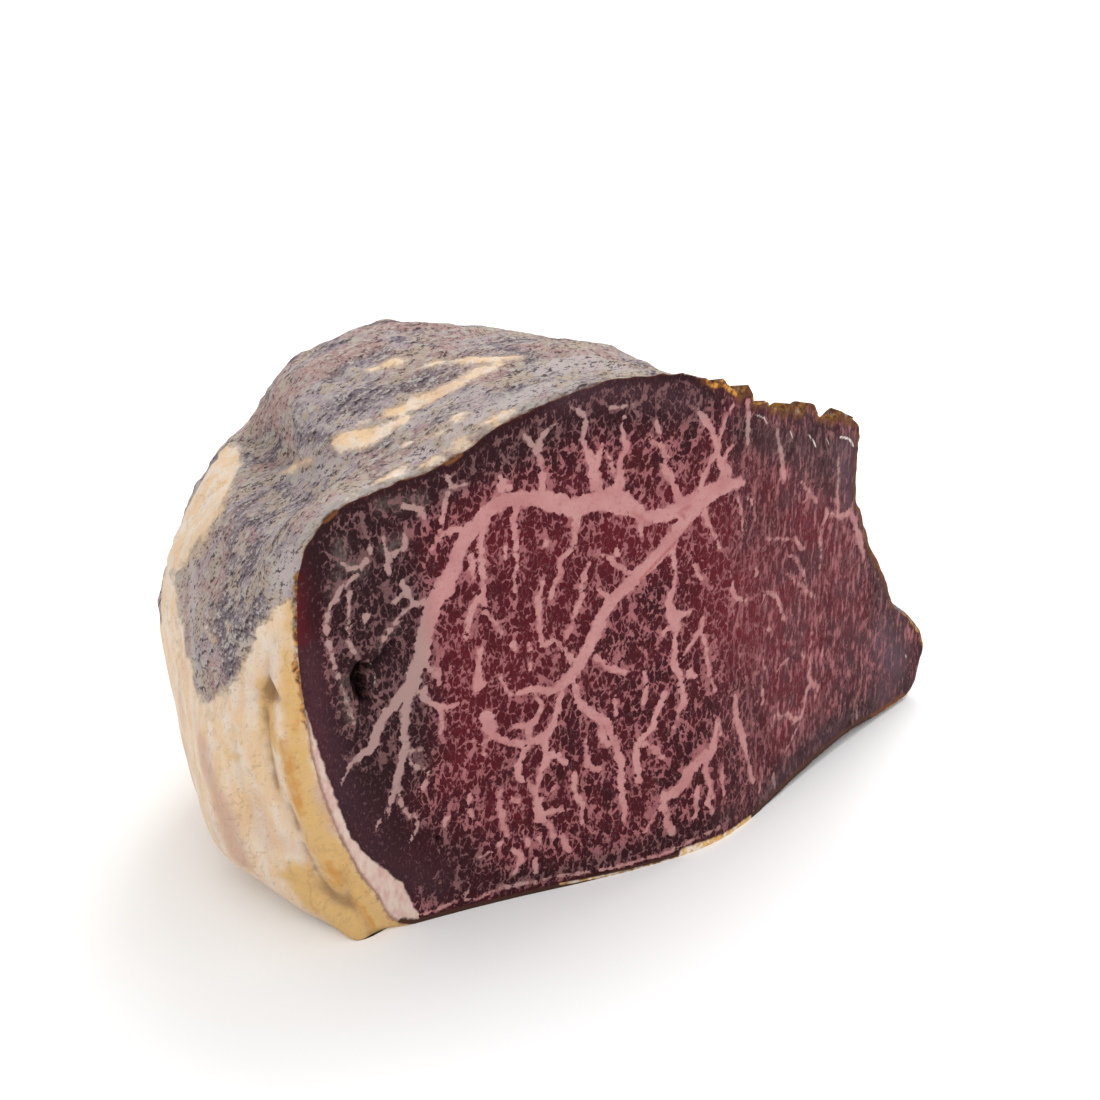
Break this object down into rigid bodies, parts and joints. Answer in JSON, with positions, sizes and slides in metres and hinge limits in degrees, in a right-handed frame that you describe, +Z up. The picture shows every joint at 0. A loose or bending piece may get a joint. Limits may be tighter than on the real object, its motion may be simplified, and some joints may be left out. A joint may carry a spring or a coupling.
{
  "type": "dry-cured beef",
  "caption": "Half joint of air-dried cured beef lying on its flat underside, with one marbled cut end, a fat cap on one side, a dried rind and a thin tapering end.",
  "frame": {"origin": "centre of the bounding box at the level of the underside", "axes": "+X along the cut towards the thin end, +Y into the joint away from the cut, +Z up"},
  "size_m": [0.2348, 0.1416, 0.1403],
  "materials": {
    "cured_meat": "dry matte rind with a satin marbled cut"
  },
  "bodies": {
    "root": {"cured_beef": "cured_meat"}
  },
  "joints": []
}
